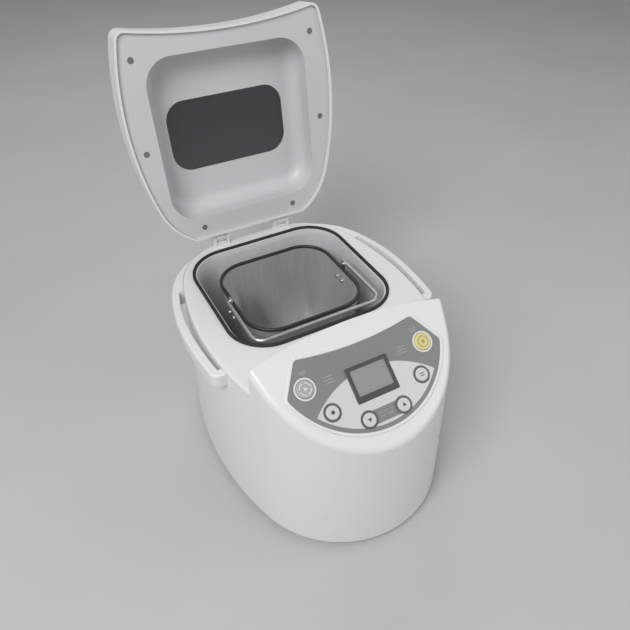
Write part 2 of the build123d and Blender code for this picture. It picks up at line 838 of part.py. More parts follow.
# Oven chamber: a pressed tub that hangs by its flange under the deck
heater_legs = [Pos(x, chamber_front_y, heater_z) * Rot(90, 0, 0) for x in (-heater_leg_x, heater_leg_x)]
with BuildPart() as oven_chamber:
    with BuildSketch(Plane.XY.offset(chamber_floor_z)):
        opening_face(chamber_wall)
    extrude(amount=deck_seat_z - chamber_floor_z)
    fillet(oven_chamber.faces().sort_by(Axis.Z)[0].edges(), chamber_floor_radius)
    with BuildSketch(Plane.XY.offset(deck_seat_z)):
        opening_face(chamber_wall + chamber_flange)
    extrude(amount=-chamber_wall)
with BuildPart() as chamber_space:
    with BuildSketch(Plane.XY.offset(chamber_inner_floor_z)):
        opening_face(0.0)
    extrude(amount=deck_seat_z - chamber_inner_floor_z)
    fillet(chamber_space.faces().sort_by(Axis.Z)[0].edges(), chamber_floor_radius - chamber_wall)
with oven_chamber:
    add(chamber_space.part, mode=Mode.SUBTRACT)
    with BuildSketch(Plane.XY.offset(chamber_floor_z)):
        with Locations((0, drive_y)):
            Circle(carrier_boss_radius)
        with Locations(*seat_screw_places):
            Circle(screw_radius + screw_gap)
    extrude(amount=chamber_wall, mode=Mode.SUBTRACT)
    with Locations(*heater_legs):
        Cylinder(heater_radius + heater_gap, 6 * chamber_wall, mode=Mode.SUBTRACT)
    with Locations(Pos(-opening_half_x, opening_centre_y, sensor_z) * Rot(0, 90, 0)):
        Cylinder(sensor_radius, 6 * chamber_wall, mode=Mode.SUBTRACT)
save(oven_chamber, "oven_chamber")

# Heating element: one tube bent round the chamber with two legs through its front
heater_front_y = opening_centre_y - heater_half_y
heater_back_y = opening_centre_y + heater_half_y
heater_end_y = chamber_front_y - heater_leg_out
with BuildPart() as heating_element:
    with BuildLine(Plane.XY.offset(heater_z)) as heater_path:
        FilletPolyline(
            (-heater_leg_x, heater_end_y),
            (-heater_leg_x, heater_front_y),
            (-heater_half_x, heater_front_y),
            (-heater_half_x, heater_back_y),
            (heater_half_x, heater_back_y),
            (heater_half_x, heater_front_y),
            (heater_leg_x, heater_front_y),
            (heater_leg_x, heater_end_y),
            radius=heater_bend,
        )
    with BuildSketch(Plane((-heater_leg_x, heater_end_y, heater_z), x_dir=(1, 0, 0), z_dir=(0, 1, 0))):
        Circle(heater_radius)
    sweep()
save(heating_element, "heating_element")

heater_sides = [Pos(x, opening_centre_y, heater_z) * Rot(90, 0, 0) for x in (-heater_half_x, heater_half_x)]
with BuildPart() as heater_clips:
    for side in (-1, 1):
        with Locations((side * opening_half_x, opening_centre_y, heater_z)):
            with GridLocations(1, heater_clip_spacing, 1, 2):
                Box(
                    opening_half_x - heater_half_x + heater_radius,
                    heater_clip_width,
                    heater_clip_height,
                    align=(Align.MAX if side > 0 else Align.MIN, Align.CENTER, Align.CENTER),
                )
    with Locations(*heater_sides):
        Cylinder(heater_radius + heater_gap, 2 * heater_clip_spacing, mode=Mode.SUBTRACT)
save(heater_clips, "heater_clips")

with BuildPart() as temperature_sensor:
    with Locations(Pos(-opening_half_x - sensor_length / 2, opening_centre_y, sensor_z) * Rot(0, 90, 0)):
        Cylinder(sensor_radius, sensor_length, align=ALIGN_UP)
    with Locations(Pos(-opening_half_x - chamber_wall, opening_centre_y, sensor_z) * Rot(0, -90, 0)):
        Cylinder(2 * sensor_radius, sensor_flange, align=ALIGN_UP)
save(temperature_sensor, "temperature_sensor")

# Pan seat screwed to the chamber's floor
with BuildPart() as pan_seat:
    with BuildSketch(Plane.XY.offset(chamber_inner_floor_z)):
        with Locations((0, drive_y)):
            Circle(seat_radius)
    extrude(amount=seat_height)
    with BuildSketch(Plane.XY.offset(seat_top_z)):
        with Locations((0, drive_y)):
            Circle(seat_radius - seat_wall)
    extrude(amount=seat_height, mode=Mode.SUBTRACT)
    with BuildSketch(Plane.XY.offset(chamber_inner_floor_z)):
        with Locations((0, drive_y)):
            Circle(carrier_boss_radius)
        with Locations(*seat_screw_places):
            Circle(screw_radius + screw_gap)
    extrude(amount=seat_thickness, mode=Mode.SUBTRACT)
save(pan_seat, "pan_seat")

with BuildPart() as seat_screws:
    with Locations(*[(x, y, seat_top_z) for x, y in seat_screw_places]):
        Cylinder(screw_head_radius, screw_head, align=ALIGN_UP)
        Cylinder(screw_radius, seat_top_z - seat_screw_end_z, align=ALIGN_DOWN)
save(seat_screws, "seat_screws")

# Drive carrier with two bushes under the chamber
carrier_z = chamber_floor_z - carrier_thickness
boss_z = chamber_floor_z - carrier_boss
with BuildPart() as drive_carrier:
    with BuildSketch(Plane.XY.offset(carrier_z)):
        rounded(carrier_half_x, carrier_half_y, carrier_boss_radius, drive_y)
    extrude(amount=carrier_thickness)
    with BuildSketch(Plane.XY.offset(boss_z)):
        with Locations((0, drive_y)):
            Circle(carrier_boss_radius)
    extrude(amount=carrier_boss)
    with BuildSketch(Plane.XY.offset(boss_z)):
        with Locations((0, drive_y)):
            Circle(bush_radius)
        with Locations(*seat_screw_places):
            Circle(screw_radius)
    extrude(amount=carrier_boss, mode=Mode.SUBTRACT)
save(drive_carrier, "drive_carrier")

with BuildPart() as drive_bushes:
    with Locations((0, drive_y, boss_z), (0, drive_y, chamber_floor_z - bush_length)):
        Cylinder(bush_radius, bush_length, align=ALIGN_UP)
        Cylinder(shaft_radius + running_gap, bush_length, align=ALIGN_UP, mode=Mode.SUBTRACT)
save(drive_bushes, "drive_bushes")

# Drive shaft with its dog and the large pulley
shaft_low_z = pulley_z - shaft_past
dog_z = seat_top_z + dog_lift
with BuildPart() as drive_shaft:
    with Locations((0, drive_y, shaft_low_z)):
        Cylinder(shaft_radius, dog_z + dog_base - shaft_low_z, align=ALIGN_UP)
save(drive_shaft, "drive_shaft")

with BuildPart() as drive_dog:
    with Locations((0, drive_y, dog_z)):
        Cylinder(dog_radius, dog_base, align=ALIGN_UP)
        Cylinder(shaft_radius, dog_base, align=ALIGN_UP, mode=Mode.SUBTRACT)
    with Locations((-dog_peg_offset, drive_y, dog_z), (dog_peg_offset, drive_y, dog_z)):
        Cylinder(dog_peg_radius, dog_base + dog_peg, align=ALIGN_UP)
save(drive_dog, "drive_dog")

for name, radius, place_y in (
    ("large_pulley", large_pulley_radius, drive_y),
    ("motor_pulley", motor_pulley_radius, motor_y),
):
    with BuildPart() as pulley:
        with Locations((0, place_y, pulley_z)):
            Cylinder(radius, pulley_width, align=ALIGN_UP)
            Cylinder(radius + pulley_lip, pulley_flange, align=ALIGN_UP)
        with Locations((0, place_y, pulley_z + pulley_width)):
            Cylinder(radius + pulley_lip, pulley_flange, align=ALIGN_DOWN)
        with Locations((0, place_y, pulley_z)):
            Cylinder(shaft_radius, pulley_width, align=ALIGN_UP, mode=Mode.SUBTRACT)
    save(pulley, name)

# Belt round both pulleys
with BuildPart() as drive_belt:
    with BuildSketch(Plane.XY.offset(pulley_z + pulley_flange + belt_gap)):
        for grow, mode in ((belt_gap + belt_thickness, Mode.ADD), (belt_gap, Mode.SUBTRACT)):
            with BuildLine(mode=Mode.PRIVATE) as loops:
                CenterArc((0, drive_y), large_pulley_radius + grow, 0, 360)
                CenterArc((0, motor_y), motor_pulley_radius + grow, 0, 360)
            make_hull(loops.edges(), mode=mode)
    extrude(amount=pulley_width - 2 * pulley_flange - 2 * belt_gap)
save(drive_belt, "drive_belt")

# Motor on a plate that stands on four posts
with BuildPart() as motor_shaft:
    with Locations((0, motor_y, shaft_low_z)):
        Cylinder(shaft_radius, motor_shaft_length, align=ALIGN_UP)
save(motor_shaft, "motor_shaft")

motor_z = motor_plate_z + motor_plate
motor_posts = [
    (x, motor_y + y) for x in (-motor_post_x, motor_post_x) for y in (-motor_post_y, motor_post_y)
]
with BuildPart() as motor:
    with Locations((0, motor_y, motor_z)):
        Cylinder(motor_radius, motor_height, align=ALIGN_UP)
    fillet(motor.faces().sort_by(Axis.Z)[-1].edges(), motor_edge)
    with Locations((0, motor_y, motor_z)):
        Cylinder(shaft_radius + running_gap, motor_height / 2, align=ALIGN_UP, mode=Mode.SUBTRACT)
save(motor, "motor")

with BuildPart() as motor_bracket:
    with BuildSketch(Plane.XY.offset(motor_plate_z)):
        rounded(
            motor_post_x + motor_plate_margin,
            motor_post_y + motor_plate_margin,
            motor_plate_corner,
            motor_y,
        )
        with Locations((0, motor_y)):
            Circle(2 * shaft_radius, mode=Mode.SUBTRACT)
    extrude(amount=motor_plate)
    with Locations(*[(x, y, tray_top_z) for x, y in motor_posts]):
        Cylinder(motor_post_radius, motor_plate_z - tray_top_z, align=ALIGN_UP)
    with Locations(*[(x, y, motor_z) for x, y in motor_posts]):
        Cylinder(screw_radius, motor_screw_length, align=ALIGN_DOWN, mode=Mode.SUBTRACT)
save(motor_bracket, "motor_bracket")

with BuildPart() as motor_screws:
    with Locations(*[(x, y, motor_z) for x, y in motor_posts]):
        Cylinder(screw_head_radius, screw_head, align=ALIGN_UP)
        Cylinder(screw_radius, motor_screw_length - screw_end_gap, align=ALIGN_DOWN)
save(motor_screws, "motor_screws")

board_z = tray_top_z + power_board_lift
with BuildPart() as power_board:
    with Locations((power_board_x, power_board_y, board_z)):
        Box(power_board_width, power_board_length, board_thickness, align=ALIGN_UP)
        with Locations((0, power_board_length / 4, board_thickness)):
            Box(2 * relay_size / 3, relay_size / 2, relay_size / 2, align=ALIGN_UP)
        with Locations((0, -power_board_length / 4, board_thickness)):
            Cylinder(relay_size / 4, relay_size / 2, align=ALIGN_UP)
save(power_board, "power_board")

with BuildPart() as cord_gland:
    with Locations(Pos(gland_x, body_rear - taper_inset(gland_z) + gland_stand, gland_z) * Rot(90, 0, 0)):
        Cylinder(gland_radius + gland_flange, gland_flange, align=ALIGN_DOWN)
        Cylinder(gland_radius, gland_barrel, align=ALIGN_UP)
        Cylinder(gland_bore_radius, 4 * gland_barrel, mode=Mode.SUBTRACT)
    fillet(cord_gland.faces().sort_by(Axis.Y)[-1].outer_wire().edges(), gland_edge)
save(cord_gland, "cord_gland")

# Hinge pins held by the deck's lugs
pin_length = 2 * (knuckle_half + hinge_side_gap + lug_width)
with BuildPart() as hinge_pins:
    with Locations(*[Pos(x, hinge_y, hinge_z) * Rot(0, 90, 0) for x in (-hinge_x, hinge_x)]):
        Cylinder(hinge_pin_radius, pin_length)
save(hinge_pins, "hinge_pins")


def pan_top_face(grow, mode=Mode.ADD):
    """The pan's upper outline, grown by a distance."""
    rounded(pan_top_half_x + grow, pan_top_half_y + grow, pan_top_radius + grow, drive_y, mode)


def pan_sections(inset, low, high):
    """Lower and upper outlines of the pan's wall, drawn in by a distance."""
    with BuildSketch(Plane.XY.offset(low)) as low_section:
        rounded(pan_bottom_half_x - inset, pan_bottom_half_y - inset, pan_bottom_radius - inset, drive_y)
    with BuildSketch(Plane.XY.offset(high)) as high_section:
        pan_top_face(-inset)
    return [low_section.sketch, high_section.sketch]


# Bread pan: a drafted tub with a soft lower edge and one rib down its front
pan_draft = pan_draft_inset / (pan_rim_z - pan_floor_z)
rib_top_y = drive_y - pan_bottom_half_y - pan_draft * rib_high
rib_low_y = drive_y - pan_bottom_half_y - pan_draft * rib_low
rib_plane = Plane(
    origin=(rib_x, rib_low_y, pan_floor_z + rib_low),
    x_dir=(1, 0, 0),
    z_dir=(0, rib_top_y - rib_low_y, rib_high - rib_low),
)
rivet_ys = (drive_y - rivet_pitch / 2, drive_y + rivet_pitch / 2)
with BuildPart() as pan_outside:
    loft(pan_sections(0.0, pan_floor_z, pan_rim_z), ruled=True)
    fillet(pan_outside.faces().sort_by(Axis.Z)[0].edges(), pan_edge_radius)
with BuildPart() as pan_inside:
    loft(pan_sections(pan_wall, pan_floor_z + pan_wall, pan_rim_z), ruled=True)
    fillet(pan_inside.faces().sort_by(Axis.Z)[0].edges(), pan_edge_radius - pan_wall)
with BuildPart() as bread_pan:
    add(pan_outside.part)
    with BuildSketch(rib_plane):
        Circle(rib_radius)
    extrude(amount=rib_high - rib_low)
    with Locations(rib_plane.origin, (rib_x, rib_top_y, pan_floor_z + rib_high)):
        Sphere(rib_radius)
    add(pan_inside.part, mode=Mode.SUBTRACT)
    with Locations((0, drive_y, pan_floor_z)):
        Cylinder(bush_radius, 4 * pan_wall, mode=Mode.SUBTRACT)
    with Locations(*[Pos(0, y, rivet_z) * Rot(0, 90, 0) for y in rivet_ys]):
        Cylinder(rivet_shank_radius, 4 * pan_top_half_x, mode=Mode.SUBTRACT)
save(bread_pan, "bread_pan")

# Dark rolled rim on the pan's edge
with BuildPart() as pan_rim:
    with BuildSketch(Plane.XY.offset(pan_rim_z)):
        pan_top_face(rim_proud)
        pan_top_face(-pan_wall, Mode.SUBTRACT)
    extrude(amount=rim_height)
    fillet(pan_rim.faces().sort_by(Axis.Z)[-1].edges(), rim_height / 3)
save(pan_rim, "pan_rim")

# Ring under the pan that drops into the seat
with BuildPart() as pan_base_ring:
    with BuildSketch(Plane.XY.offset(pan_ring_z)):
        with Locations((0, drive_y)):
            Circle(pan_ring_radius)
            Circle(pan_ring_radius - pan_ring_wall, mode=Mode.SUBTRACT)
    extrude(amount=pan_floor_z - pan_ring_z)
save(pan_base_ring, "pan_base_ring")

# Brackets on the pan's sides with the eyes for the bail
tab_x = pan_top_half_x + rim_proud + bracket_gap
bracket_foot_height = bracket_high_z - bracket_low_z - bracket_foot_drop
with BuildPart() as bail_brackets:
    for side in (-1, 1):
        with BuildSketch(Plane.YZ.offset(side * (tab_x + bracket_tab / 2))):
            with Locations((drive_y, bracket_low_z)):
                Rectangle(2 * bracket_half_y, bracket_high_z - bracket_low_z, align=ALIGN_EDGE)
            with Locations((drive_y, bracket_low_z)):
                Rectangle(2 * eye_radius, bail_pivot_z - bracket_low_z, align=ALIGN_EDGE)
            with Locations((drive_y, bail_pivot_z)):
                Circle(eye_radius)
                Circle(bail_wire_radius + running_gap, mode=Mode.SUBTRACT)
            with Locations(*[(y, rivet_z) for y in rivet_ys]):
                Circle(rivet_shank_radius, mode=Mode.SUBTRACT)
        extrude(amount=bracket_tab / 2, both=True)
        with BuildSketch(Plane.YZ.offset(side * (tab_x - bracket_foot / 2))):
            with Locations((drive_y, bracket_low_z)):
                Rectangle(2 * bracket_half_y, bracket_foot_height, align=ALIGN_EDGE)
            with Locations(*[(y, rivet_z) for y in rivet_ys]):
                Circle(rivet_shank_radius, mode=Mode.SUBTRACT)
        extrude(amount=bracket_foot / 2, both=True)
    add(pan_outside.part, mode=Mode.SUBTRACT)
save(bail_brackets, "bail_brackets")

rivet_wall_x = pan_bottom_half_x + pan_draft * (rivet_z - pan_floor_z) - pan_wall
rivet_length = tab_x + bracket_tab - rivet_wall_x + rivet_head_gap
with BuildPart() as bracket_rivets:
    for side in (-1, 1):
        for y in rivet_ys:
            with Locations(Pos(side * (tab_x + bracket_tab), y, rivet_z) * Rot(0, side * 90, 0)):
                Cylinder(rivet_radius, rivet_proud, align=ALIGN_UP)
                Cylinder(rivet_shank_radius, rivet_length, align=ALIGN_DOWN)
                with Locations((0, 0, -rivet_length)):
                    Cylinder(rivet_radius, rivet_proud, align=ALIGN_DOWN)
save(bracket_rivets, "bracket_rivets")

# Bush in the pan's floor
with BuildPart() as pan_bush:
    with Locations((0, drive_y, pan_floor_z - pan_bush_drop)):
        Cylinder(bush_radius, pan_bush_drop + pan_bush_rise, align=ALIGN_UP)
    with Locations((0, drive_y, pan_floor_z + pan_wall)):
        Cylinder(bush_radius + pan_bush_flange, pan_bush_flange_thickness, align=ALIGN_UP)
    with Locations((0, drive_y, pan_floor_z)):
        Cylinder(shaft_radius + running_gap, 4 * (pan_bush_drop + pan_bush_rise), mode=Mode.SUBTRACT)
save(pan_bush, "pan_bush")

# Wire bail, folded forward, with its ends turned in through the eyes
leg_x = tab_x + bracket_tab + bail_side_gap + bail_wire_radius
bail_tip_x = tab_x - bail_pin_past
with BuildPart() as bail_handle:
    with BuildLine(Plane.XY.offset(bail_pivot_z)):
        FilletPolyline(
            (-bail_tip_x, drive_y),
            (-leg_x, drive_y),
            (-leg_x, drive_y - bail_reach),
            (leg_x, drive_y - bail_reach),
            (leg_x, drive_y),
            (bail_tip_x, drive_y),
            radius=bail_bend,
        )
    with BuildSketch(Plane((-bail_tip_x, drive_y, bail_pivot_z), x_dir=(0, 1, 0), z_dir=(-1, 0, 0))):
        Circle(bail_wire_radius)
    sweep()
save(bail_handle, "bail_handle")

# Kneading shaft, its driven dog and the paddle
dog_bar_z = dog_z + dog_base + dog_face_gap
paddle_z = pan_floor_z + pan_bush_rise + paddle_lift
shaft_top_z = paddle_z + paddle_hub_height - paddle_cap
with BuildPart() as pan_shaft:
    with Locations((0, drive_y, dog_bar_z)):
        Cylinder(shaft_radius, shaft_top_z - dog_bar_z, align=ALIGN_UP)
save(pan_shaft, "pan_shaft")

with BuildPart() as driven_dog:
    with Locations((0, drive_y, dog_bar_z)):
        Box(dog_bar_width, dog_bar, dog_bar_height, align=ALIGN_UP)
        Cylinder(shaft_radius + dog_hub_wall, dog_bar_height, align=ALIGN_UP)
        Cylinder(shaft_radius, dog_bar_height, align=ALIGN_UP, mode=Mode.SUBTRACT)
    with Locations(*[(side * dog_peg_offset, drive_y, dog_bar_z) for side in (-1, 1)]):
        Cylinder(dog_peg_radius + dog_peg_gap, dog_bar_height, align=ALIGN_UP, mode=Mode.SUBTRACT)
save(driven_dog, "driven_dog")

with BuildPart() as kneading_paddle:
    with Locations((0, drive_y, paddle_z)):
        Cylinder(paddle_hub_radius, paddle_hub_height, align=ALIGN_UP)
    with BuildSketch(Plane.YZ):
        with BuildLine():
            Polyline(
                (drive_y, paddle_z),
                (drive_y + paddle_reach, paddle_z),
                (drive_y + paddle_reach, paddle_z + paddle_height / 2),
                (drive_y + paddle_reach / 2, paddle_z + paddle_height),
                (drive_y, paddle_z + paddle_hub_height),
                close=True,
            )
        make_face()
        fillet(vertices().sort_by(Axis.Y)[-3:], paddle_corner)
    extrude(amount=paddle_thickness / 2, both=True)
    with Locations((0, drive_y, paddle_z)):
        Cylinder(shaft_radius, paddle_hub_height - paddle_cap, align=ALIGN_UP, mode=Mode.SUBTRACT)
save(kneading_paddle, "kneading_paddle")


def lid_face(inset):
    """The lid's outline as if closed, drawn in by a distance."""
    plan_face(lid_inset + inset)
    ridge_disc(lid_front_gap + inset, Mode.SUBTRACT)
    with Locations((0, hinge_y - lid_rear_gap - inset)):
        Rectangle(4 * body_half_width, 2 * body_rear, align=ALIGN_EDGE, mode=Mode.SUBTRACT)
    rear = vertices().group_by(Axis.Y)[-1]
    front = vertices().sort_by(Axis.Y)[:2]
    fillet(front, lid_front_corner - inset)
    fillet(rear, lid_rear_corner - inset)


def recess_face(grow):
    """The liner recess's outline, grown by a distance."""
    rounded(recess_half_x + grow, recess_half_y + grow, recess_radius + grow, recess_centre_y)


def window_face(grow):
    """The window opening's outline, grown by a distance."""
    rounded(window_half_x + grow, window_half_y + grow, window_radius + grow, window_centre_y)


# Lid shell, hollow from below
with BuildPart() as lid_outside:
    with BuildSketch(lid_plane.offset(lid_rim_z)):
        lid_face(0.0)
    extrude(amount=lid_height)
    fillet(lid_outside.faces().sort_by(lid_up)[-1].edges(), lid_edge_radius)
with BuildPart() as lid_inside:
    with BuildSketch(lid_plane.offset(lid_rim_z - cut_past)):
        lid_face(lid_wall)
    extrude(amount=lid_height - lid_wall + cut_past)
    fillet(lid_inside.faces().sort_by(lid_up)[-1].edges(), lid_edge_radius - lid_wall)
lid_screw_places = [
    (side * (body_half_width - inset), y)
    for inset, y in (lid_screw_front, lid_screw_middle, lid_screw_rear)
    for side in (-1, 1)
]
lid_boss_z = liner_z + liner_thickness
with BuildPart() as lid_shell:
    add(lid_outside.part)
    add(lid_inside.part, mode=Mode.SUBTRACT)
    with BuildSketch(lid_plane.offset(lid_boss_z)):
        with Locations(*lid_screw_places):
            Circle(lid_boss_radius)
    extrude(amount=lid_height)
    add(lid_outside.part, mode=Mode.INTERSECT)
    with BuildSketch(lid_plane.offset(lid_boss_z)):
        with Locations(*lid_screw_places):
            Circle(screw_radius)
    extrude(amount=lid_screw_length, mode=Mode.SUBTRACT)
    with BuildSketch(lid_plane.offset(lid_rim_z)):
        window_face(0.0)
    extrude(amount=2 * lid_height, mode=Mode.SUBTRACT)
    with BuildSketch(lid_plane.offset(hinge_z - knuckle_drop)):
        with Locations((-hinge_x, hinge_y), (hinge_x, hinge_y)):
            Rectangle(2 * knuckle_half, lid_rear_gap + lid_wall, align=(Align.CENTER, Align.MAX))
    extrude(amount=knuckle_drop + hinge_barrel_radius)
    with Locations(*[Pos(x, hinge_y, hinge_z) * Rot(0, 90, 0) for x in (-hinge_x, hinge_x)]):
        Cylinder(hinge_barrel_radius, 2 * knuckle_half)
    with Locations(*[(x, hinge_y, hinge_z) for x in (-hinge_x, hinge_x)]):
        Box(2 * knuckle_half, 2 * heel_half, heel_reach, align=ALIGN_DOWN)
    with Locations(*[Pos(x, hinge_y, hinge_z) * Rot(0, 90, 0) for x in (-hinge_x, hinge_x)]):
        Cylinder(hinge_pin_radius + running_gap, 2 * knuckle_half, mode=Mode.SUBTRACT)
save(lid_shell, "lid_shell")

# Liner: a flat flange with a soft-cornered recess
with BuildPart() as recess_space:
    with BuildSketch(lid_plane.offset(liner_z)):
        recess_face(0.0)
    extrude(amount=recess_top_z - recess_wall - liner_z)
    fillet(recess_space.faces().sort_by(lid_up)[-1].edges(), recess_edge_radius)
with BuildPart() as lid_liner:
    with BuildSketch(lid_plane.offset(liner_z)):
        recess_face(recess_wall)
    extrude(amount=recess_top_z - liner_z)
    fillet(lid_liner.faces().sort_by(lid_up)[-1].edges(), recess_edge_radius + recess_wall)
    with BuildSketch(lid_plane.offset(liner_z)):
        lid_face(lid_wall + liner_fit)
    extrude(amount=liner_thickness)
    add(recess_space.part, mode=Mode.SUBTRACT)
    with BuildSketch(lid_plane.offset(liner_z)):
        window_face(0.0)
        with Locations(*lid_screw_places):
            Circle(screw_radius + screw_gap)
    extrude(amount=2 * lid_height, mode=Mode.SUBTRACT)
    with BuildSketch(lid_plane.offset(liner_z)):
        with Locations(*lid_screw_places):
            Circle(screw_head_radius + screw_gap)
    extrude(amount=screw_head, mode=Mode.SUBTRACT)
save(lid_liner, "lid_liner")

with BuildPart() as lid_window:
    with BuildSketch(lid_plane.offset(recess_top_z)):
        window_face(window_lap)
    extrude(amount=window_thickness)
save(lid_window, "lid_window")

with BuildPart() as lid_screws:
    with BuildSketch(lid_plane.offset(liner_z)):
        with Locations(*lid_screw_places):
            Circle(screw_head_radius)
    extrude(amount=screw_head)
    with BuildSketch(lid_plane.offset(liner_z)):
        with Locations(*lid_screw_places):
            Circle(screw_radius)
    extrude(amount=liner_thickness + lid_screw_length - screw_end_gap)
save(lid_screws, "lid_screws")
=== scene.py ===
"""Looks of the bread machine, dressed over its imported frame."""

import json
import math

import bmesh
import bpy
from mathutils import Matrix, Vector


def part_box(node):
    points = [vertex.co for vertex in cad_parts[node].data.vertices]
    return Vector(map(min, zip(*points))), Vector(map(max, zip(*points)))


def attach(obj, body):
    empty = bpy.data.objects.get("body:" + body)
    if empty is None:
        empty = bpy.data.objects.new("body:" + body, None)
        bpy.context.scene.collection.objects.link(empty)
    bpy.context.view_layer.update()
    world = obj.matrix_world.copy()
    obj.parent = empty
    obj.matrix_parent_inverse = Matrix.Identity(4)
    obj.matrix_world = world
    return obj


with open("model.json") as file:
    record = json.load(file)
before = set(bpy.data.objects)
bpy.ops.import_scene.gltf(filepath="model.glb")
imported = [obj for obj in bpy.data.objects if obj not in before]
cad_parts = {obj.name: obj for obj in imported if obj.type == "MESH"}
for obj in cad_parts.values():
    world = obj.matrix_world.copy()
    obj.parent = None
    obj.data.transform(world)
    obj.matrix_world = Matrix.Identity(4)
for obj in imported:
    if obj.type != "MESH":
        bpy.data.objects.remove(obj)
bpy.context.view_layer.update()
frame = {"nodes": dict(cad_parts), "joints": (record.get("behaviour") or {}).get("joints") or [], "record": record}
nodes = frame["nodes"]
scene = bpy.context.scene
scene.view_settings.view_transform = "Standard"

# Shader building blocks

# The stretch of a noise value that tones and gloss follow
NOISE_LOW = 0.15
NOISE_HIGH = 0.85
# Depth of fine relief in metres
RELIEF_DEPTH = 0.0002
# Sockets of the mix node: its colour sockets share their names with others
MIX_FACTOR = 0
MIX_FIRST_COLOUR = 6
MIX_SECOND_COLOUR = 7
MIX_COLOUR_OUT = 2


def link(tree, source, target):
    """Joins two sockets of a material."""
    tree.links.new(source, target)


def base_material(name):
    """A material with its principled shader and object coordinates."""
    mat = bpy.data.materials.new(name)
    mat.use_nodes = True
    tree = mat.node_tree
    shader = tree.nodes["Principled BSDF"]
    coords = tree.nodes.new("ShaderNodeTexCoord")
    return mat, tree, shader, coords.outputs["Object"]


def noise(tree, vector, scale, detail, rough=0.55, stretch=None):
    """A noise value between 0 and 1, stretched along one axis if asked."""
    if stretch:
        mapping = tree.nodes.new("ShaderNodeMapping")
        mapping.inputs["Scale"].default_value = stretch
        link(tree, vector, mapping.inputs["Vector"])
        vector = mapping.outputs["Vector"]
    node = tree.nodes.new("ShaderNodeTexNoise")
    node.inputs["Scale"].default_value = scale
    node.inputs["Detail"].default_value = detail
    node.inputs["Roughness"].default_value = rough
    link(tree, vector, node.inputs["Vector"])
    return node.outputs["Fac"]


def shade(colour, factor):
    """A colour made lighter or darker."""
    return tuple(min(1.0, c * factor) for c in colour)


def tones(tree, value, colour, down, up):
    """A colour that drifts softly between a darker and a lighter tone of itself."""
    node = tree.nodes.new("ShaderNodeValToRGB")
    node.color_ramp.interpolation = "EASE"
    dark, light = node.color_ramp.elements
    dark.position = NOISE_LOW
    dark.color = (*shade(colour, 1 - down), 1.0)
    light.position = NOISE_HIGH
    light.color = (*shade(colour, 1 + up), 1.0)
    link(tree, value, node.inputs["Fac"])
    return node.outputs["Color"]


def remap(tree, value, low, high):
    """A noise value moved softly to another range."""
    node = tree.nodes.new("ShaderNodeMapRange")
    node.interpolation_type = "SMOOTHSTEP"
    node.inputs["From Min"].default_value = NOISE_LOW
    node.inputs["From Max"].default_value = NOISE_HIGH
    node.inputs["To Min"].default_value = low
    node.inputs["To Max"].default_value = high
    link(tree, value, node.inputs["Value"])
    return node.outputs["Result"]


def math_node(tree, operation, a, b):
    """One arithmetic step on sockets or numbers."""
    node = tree.nodes.new("ShaderNodeMath")
    node.operation = operation
    for socket, value in zip(node.inputs, (a, b)):
        if isinstance(value, (int, float)):
            socket.default_value = value
        else:
            link(tree, value, socket)
    return node.outputs[0]


def split(tree, vector):
    """The X, Y and Z of a vector socket."""
    node = tree.nodes.new("ShaderNodeSeparateXYZ")
    link(tree, vector, node.inputs[0])
    return node.outputs


def mix_colour(tree, factor, first, second):
    """Two colour sockets mixed by a factor."""
    node = tree.nodes.new("ShaderNodeMix")
    node.data_type = "RGBA"
    link(tree, factor, node.inputs[MIX_FACTOR])
    link(tree, first, node.inputs[MIX_FIRST_COLOUR])
    link(tree, second, node.inputs[MIX_SECOND_COLOUR])
    return node.outputs[MIX_COLOUR_OUT]


def bump(tree, shader, height, strength):
    """Fine surface relief."""
    node = tree.nodes.new("ShaderNodeBump")
    node.inputs["Strength"].default_value = strength
    node.inputs["Distance"].default_value = RELIEF_DEPTH
    link(tree, height, node.inputs["Height"])
    link(tree, node.outputs["Normal"], shader.inputs["Normal"])


# Moulded plastic

PLASTIC_FLOW_SCALE = 7.0
PLASTIC_GLOSS_SCALE = 14.0
PLASTIC_GRAIN_SCALE = 420.0
PLASTIC_LIGHTER = 0.4
PLASTIC_GLOSSIEST = 0.82
PLASTIC_DULLEST = 1.2
PLASTIC_COAT_ROUGH = 0.1
PLASTIC_IOR = 1.49


def plastic(name, colour, rough, tone, grain, coat=0.0):
    """Moulded plastic: slight flow tone, uneven gloss and a fine grain."""
    mat, tree, shader, xyz = base_material(name)
    flow = noise(tree, xyz, PLASTIC_FLOW_SCALE, detail=1.0)
    link(tree, tones(tree, flow, colour, tone, tone * PLASTIC_LIGHTER), shader.inputs["Base Color"])
    gloss = noise(tree, xyz, PLASTIC_GLOSS_SCALE, detail=1.0)
    uneven = remap(tree, gloss, rough * PLASTIC_GLOSSIEST, rough * PLASTIC_DULLEST)
    link(tree, uneven, shader.inputs["Roughness"])
    shader.inputs["Coat Weight"].default_value = coat
    shader.inputs["Coat Roughness"].default_value = PLASTIC_COAT_ROUGH
    shader.inputs["IOR"].default_value = PLASTIC_IOR
    bump(tree, shader, noise(tree, xyz, PLASTIC_GRAIN_SCALE, detail=3.0), grain)
    return mat


# Metal

METAL_NOISE_ROUGH = 0.6
METAL_FINER = 3.0
METAL_LIGHTER = 0.5
METAL_GLOSSIEST = 0.75
METAL_DULLEST = 1.25


